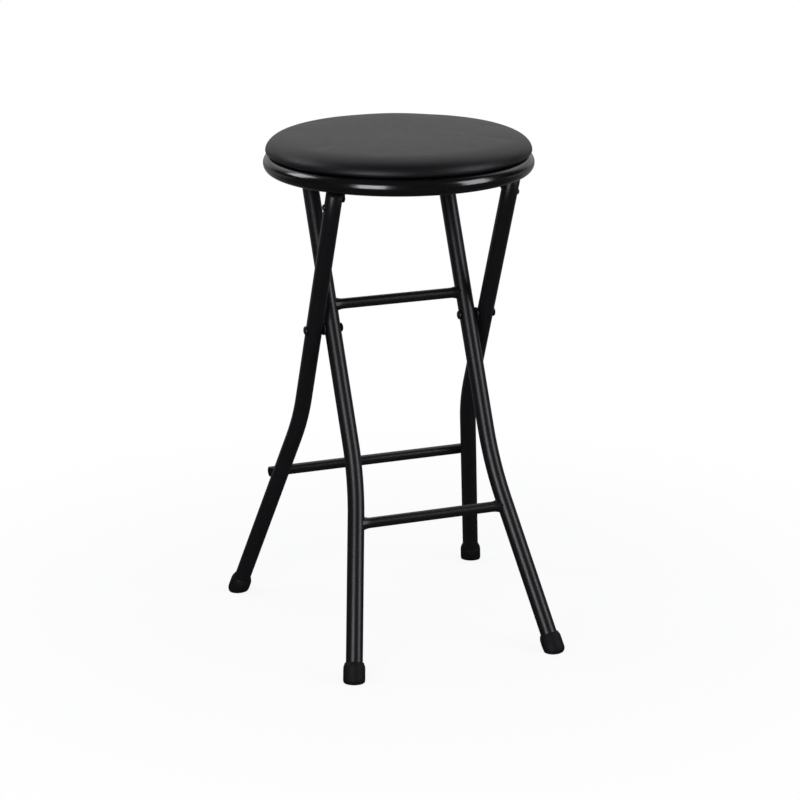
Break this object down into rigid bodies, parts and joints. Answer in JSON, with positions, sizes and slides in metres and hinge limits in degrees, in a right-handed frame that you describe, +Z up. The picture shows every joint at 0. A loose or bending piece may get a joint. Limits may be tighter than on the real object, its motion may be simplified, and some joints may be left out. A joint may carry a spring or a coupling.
{
  "type": "folding bar stool",
  "caption": "Round padded stool on crossed tubular steel frames that fold flat, with a seat that tips up between them.",
  "frame": {"origin": "on the floor, under the middle of the open stool's overall box", "axes": "+X from the left legs to the right legs, +Y from the front, where the seat hinges, to the back, +Z up"},
  "size_m": [0.3492, 0.3628, 0.6102],
  "materials": {
    "vinyl": "smooth black vinyl with a soft sheen",
    "foam": "open-cell cushion foam, hidden by the cover",
    "plywood": "raw plywood, hidden",
    "rim_enamel": "glossy black paint on pressed steel",
    "powder_coat": "semi-gloss black powder coat on steel tube",
    "rubber": "matt black rubber",
    "black_plastic": "matt black moulded plastic",
    "black_rivet": "black steel rivet",
    "zinc_screw": "zinc-plated steel, hidden under the seat"
  },
  "bodies": {
    "outer_frame": {"outer_leg_left": "powder_coat", "outer_foot_left": "rubber", "hinge_plug_left": "black_plastic", "hinge_rivet_left": "black_rivet", "plug_rivet_left": "black_rivet", "outer_leg_right": "powder_coat", "outer_foot_right": "rubber", "hinge_plug_right": "black_plastic", "hinge_rivet_right": "black_rivet", "plug_rivet_right": "black_rivet", "outer_rear_rung": "powder_coat"},
    "inner_frame": {"inner_leg_left": "powder_coat", "inner_foot_left": "rubber", "inner_end_plug_left": "black_plastic", "pivot_rivet_left": "black_rivet", "pivot_spacer_left": "black_plastic", "inner_leg_right": "powder_coat", "inner_foot_right": "rubber", "inner_end_plug_right": "black_plastic", "pivot_rivet_right": "black_rivet", "pivot_spacer_right": "black_plastic", "inner_top_rung": "powder_coat", "inner_upper_rung": "powder_coat", "inner_front_rung": "powder_coat"},
    "seat": {"seat_cover": "vinyl", "seat_foam": "foam", "seat_board": "plywood", "seat_pan": "rim_enamel", "hinge_bracket_left": "powder_coat", "saddle_bracket_left": "powder_coat", "hinge_screw_left_front": "zinc_screw", "hinge_screw_left_rear": "zinc_screw", "saddle_screw_left_front": "zinc_screw", "saddle_screw_left_rear": "zinc_screw", "hinge_bracket_right": "powder_coat", "saddle_bracket_right": "powder_coat", "hinge_screw_right_front": "zinc_screw", "hinge_screw_right_rear": "zinc_screw", "saddle_screw_right_front": "zinc_screw", "saddle_screw_right_rear": "zinc_screw"}
  },
  "joints": [
    {"name": "leg_fold", "type": "hinge", "parent": "outer_frame", "child": "inner_frame", "pos_m": [0, 0.00885, 0.3793], "axis": [1, 0, 0], "range_deg": [0, 47]},
    {"name": "seat_tilt", "type": "hinge", "parent": "outer_frame", "child": "seat", "pos_m": [0, -0.06445, 0.553], "axis": [1, 0, 0], "range_deg": [0, 110.92]}
  ],
  "couplings": [
    {"joint": "seat_tilt", "follows": "leg_fold", "ratio": 2.36}
  ]
}
